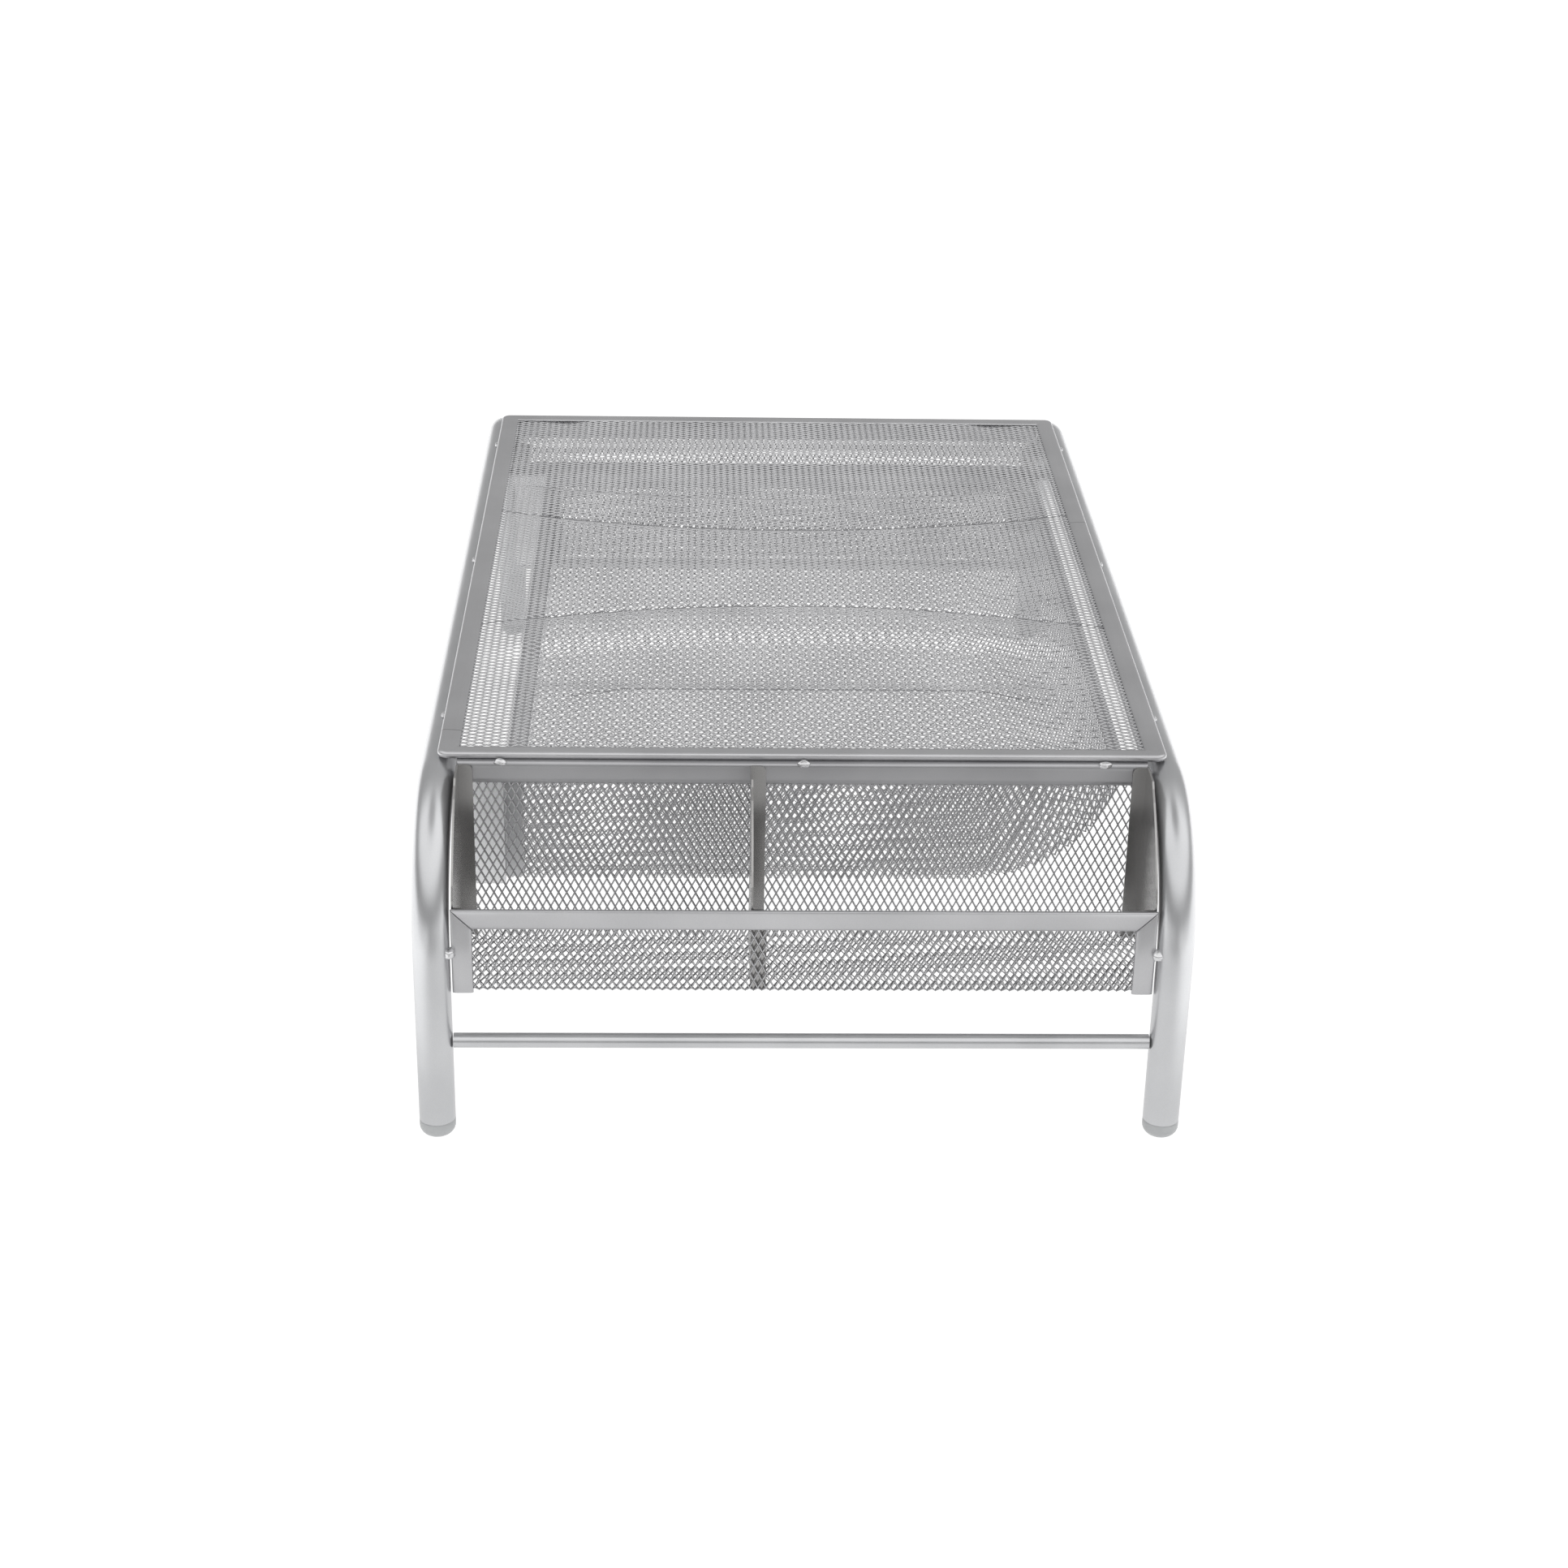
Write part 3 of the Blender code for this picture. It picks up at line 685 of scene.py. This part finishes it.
def hem_bar(name):
    """Folded hem as a bar along Y or Z with softly rounded faces and ends, as large as its CAD node's box.

    The hem at a pocket's top also reaches a little under the deck's rim.
    """
    low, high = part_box(name)
    if "top_hem" in name:
        if low.x > 0:
            low.x -= TOP_HEM_GROWTH
        else:
            high.x += TOP_HEM_GROWTH
    centre = (low + high) / 2
    half = (high - low) / 2
    run = 1 if half.y > half.z else 2
    wide = 3 - run
    inset = 0.5 * MM
    end_shrink = 0.72
    sides = 48
    end = half[run]
    stations = ((-end, end_shrink), (inset - end, 1), (end - inset, 1), (end, end_shrink))
    shape = bmesh.new()
    rings = []
    for place, shrink in stations:
        ring = []
        for k in range(sides):
            turn = 2 * math.pi * k / sides
            point = centre.copy()
            point.x += half.x * shrink * softened(math.cos(turn))
            point[wide] += half[wide] * softened(math.sin(turn))
            point[run] += place - math.copysign(mitre_trim(name, point, place), place)
            ring.append(shape.verts.new(point))
        rings.append(ring)
    bridge(shape, rings)
    shape.faces.new(rings[0])
    shape.faces.new(rings[-1])
    # A pocket's top hem takes the darker paint, painted shade under the deck's rim.
    bar = finish_piece(f"{name}_rolled", shape, top_hem_shade_paint if "top_hem" in name else strip_paint, 50)
    attach(bar, "stand", "strip", name)


def hems():
    deck_rim()
    for end in ("left", "right"):
        for part in ("pocket_top_hem", "lip_hem", "lip_strip_front", "lip_strip_rear"):
            hem_bar(f"{end}_{part}")


# ---------------------------------------------------------------- welds and feet

def bead(name, centre, size, seed):
    """Small lumpy weld bead."""
    mesh = bpy.data.meshes.new(name)
    shape = bmesh.new()
    bmesh.ops.create_icosphere(shape, subdivisions=3, radius=1)
    for vertex in shape.verts:
        x, y, z = vertex.co
        lump = 1 + 0.1 * math.sin(3 * x + seed) * math.cos(4 * y - seed) + 0.06 * math.sin(7 * z + 2 * seed)
        vertex.co = Vector((x * size[0], y * size[1], z * size[2])) * lump
    shape.to_mesh(mesh)
    shape.free()
    mesh.shade_smooth()
    mesh.transform(Matrix.Translation(centre))
    mesh.materials.append(weld_paint)
    item = bpy.data.objects.new(name, mesh)
    scene.collection.objects.link(item)
    attach(item, "stand", "strip")


def welds():
    """Beads under the deck's end rims, beside the lips and along the deck's long sides."""
    for end, sign in (("left", -1), ("right", 1)):
        hem_low, hem_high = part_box(f"deck_hem_{end}")
        x = (hem_low.x if sign < 0 else hem_high.x) + sign * 1.7 * MM
        z = hem_low.z - (0.3 * MM if sign < 0 else 1.6 * MM)
        for i, y in enumerate(HEM_BEAD_PLACES):
            bead(f"{end}_hem_weld_{i + 1}", (x, y, z), HEM_BEAD, i + sign)
        strip_y = abs(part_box(f"{end}_lip_strip_rear")[1].y)
        for side, s in (("front", -1), ("rear", 1)):
            centre = (sign * LIP_BEAD_X, s * (strip_y + 0.9 * MM), LIP_BEAD_Z)
            bead(f"{end}_lip_weld_{side}", centre, LIP_BEAD, s + 2 * sign)
    rim_low, rim_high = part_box("deck_hem_rear")
    for side, s in (("front", -1), ("rear", 1)):
        for i, x in enumerate(DECK_BEAD_PLACES):
            centre = (x, s * (rim_high.y + 0.5 * MM), rim_low.z + 0.5 * MM)
            bead(f"deck_weld_{side}_{i + 1}", centre, DECK_BEAD, i)


def lathe(name, centre, profile, paint, sides=40):
    """Turned solid from (radius, height) points."""
    shape = bmesh.new()
    rings = []
    for radius, height in profile:
        ring = []
        for k in range(sides):
            turn = 2 * math.pi * k / sides
            offset = Vector((radius * math.cos(turn), radius * math.sin(turn), height))
            ring.append(shape.verts.new(centre + offset))
        rings.append(ring)
    bridge(shape, rings)
    shape.faces.new(list(reversed(rings[0])))
    shape.faces.new(rings[-1])
    return finish_piece(name, shape, paint)


def feet():
    """Rounded cap under each leg, as wide as the tube."""
    flat = FOOT_R - FOOT_ROUNDING
    profile = [(flat + FOOT_ROUNDING * math.sin(a), FOOT_ROUNDING * (1 - math.cos(a)))
               for a in np.radians(np.linspace(0, 90, 10))]
    profile += [(FOOT_R, 6.2 * MM), (FOOT_R - 0.35 * MM, 6.7 * MM), (FOOT_R - 1.2 * MM, 6.75 * MM)]
    for end in ("left", "right"):
        for side in ("front", "rear"):
            name = f"foot_cap_{end}_{side}"
            low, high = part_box(name)
            centre = Vector(((low.x + high.x) / 2, (low.y + high.y) / 2, low.z))
            attach(lathe(f"{name}_moulded", centre, profile, foot_plastic), "stand", "foot", name)


# ---------------------------------------------------------------- studio and camera

def smooth_ramp(tree, source, start, stop, low=0.0, high=1.0):
    """low at start and high at stop, with soft ends; start may be above stop."""
    node = tree.add("ShaderNodeMapRange", interpolation_type="SMOOTHSTEP")
    ends = sorted(((start, low), (stop, high)))
    for names, (place, value) in zip((("From Min", "To Min"), ("From Max", "To Max")), ends):
        node.inputs[names[0]].default_value = place
        node.inputs[names[1]].default_value = value
    tree.join(source, node.inputs["Value"])
    return node.outputs["Result"]


def combine(tree, operation, first, second=0.0):
    """Math node on two values, each a socket or a number."""
    node = tree.add("ShaderNodeMath", operation=operation)
    for socket, value in zip(node.inputs, (first, second)):
        if isinstance(value, float):
            socket.default_value = value
        else:
            tree.join(value, socket)
    return node.outputs[0]


def floor_glow(tree):
    """White to the camera; as a reflector it is dimmer in front of the stand and brighter beside it."""
    parts = tree.add("ShaderNodeSeparateXYZ")
    tree.join(tree.add("ShaderNodeTexCoord").outputs["Object"], parts.inputs[0])
    front = smooth_ramp(tree, parts.outputs["X"], -0.49, -0.43, 0.45, 0.9)
    aside = combine(tree, "ABSOLUTE", parts.outputs["Y"])
    glow = combine(tree, "ADD", front, smooth_ramp(tree, aside, 0.16, 0.3, 0.0, 0.6))
    seen = tree.add("ShaderNodeLightPath").outputs["Is Camera Ray"]
    return combine(tree, "MAXIMUM", glow, seen)


def studio():
    """White floor and background, and a world whose glow stands in for soft boxes."""
    mesh = bpy.data.meshes.new("studio_floor")
    reach = 14.0
    corners = [(x * reach, y * reach, 0) for x, y in ((-1, -1), (1, -1), (1, 1), (-1, 1))]
    mesh.from_pydata(corners, [], [(0, 1, 2, 3)])
    floor = bpy.data.objects.new("studio_floor", mesh)
    scene.collection.objects.link(floor)
    material, tree, shader = new_material("studio_white")
    shader.inputs["Base Color"].default_value = (0.12, 0.12, 0.12, 1)
    shader.inputs["Roughness"].default_value = 0.9
    shader.inputs["Specular IOR Level"].default_value = 0.1
    shader.inputs["Emission Color"].default_value = (1, 1, 1, 1)
    tree.join(floor_glow(tree), shader.inputs["Emission Strength"])
    mesh.materials.append(material)

    world = bpy.data.worlds.new("studio_world")
    world.use_nodes = True
    scene.world = world
    tree = Nodes(world.node_tree)
    background = world.node_tree.nodes["Background"]
    place = tree.add("ShaderNodeTexCoord").outputs["Generated"]
    parts = tree.add("ShaderNodeSeparateXYZ")
    tree.join(place, parts.inputs[0])

    x, y, z = (parts.outputs[axis] for axis in "XYZ")
    above = combine(tree, "MULTIPLY", smooth_ramp(tree, z, 0.25, 0.5), smooth_ramp(tree, z, 0.985, 0.92))
    box = combine(tree, "MULTIPLY", above, smooth_ramp(tree, x, 0.55, 0.1, 0.0, BOX_GLOW))
    far = smooth_ramp(tree, x, -0.3, 0.5, 0.0, FAR_GLOW)
    lean = smooth_ramp(tree, y, 1.0, -1.0, 0.0, LEAN_GLOW)
    glow = combine(tree, "ADD", combine(tree, "ADD", box, far), combine(tree, "ADD", lean, BASE_GLOW))
    seen = tree.add("ShaderNodeLightPath").outputs["Is Camera Ray"]
    tree.join(combine(tree, "MAXIMUM", glow, seen), background.inputs["Strength"])
    background.inputs["Color"].default_value = (1, 1, 1, 1)


def camera():
    """Long lens in front of the left end, above the deck."""
    turn, tip, roll = -0.0354157, 0.449301, 0.0203421
    ahead = Vector((math.cos(tip) * math.cos(turn), math.cos(tip) * math.sin(turn), -math.sin(tip)))
    right = ahead.cross(Vector((0, 0, 1))).normalized()
    up = right.cross(ahead)
    rolled_right = right * math.cos(roll) + up * math.sin(roll)
    rolled_up = up * math.cos(roll) - right * math.sin(roll)
    data = bpy.data.cameras.new("camera")
    data.sensor_width = 36
    data.lens = 65.217
    data.clip_start = 0.05
    data.clip_end = 60
    item = bpy.data.objects.new("camera", data)
    rotation = Matrix((rolled_right, rolled_up, -ahead)).transposed().to_4x4()
    item.matrix_world = Matrix.Translation((-1.18755, 0.0422739, 0.602341)) @ rotation
    scene.collection.objects.link(item)
    scene.camera = item


paint_cad_nodes()
deck_panel()
pocket_panel("left", -1)
pocket_panel("right", 1)
drawer_panels()
bent_tubes()
crossbars()
hems()
welds()
feet()
studio()
camera()
scene.view_settings.view_transform = "Standard"
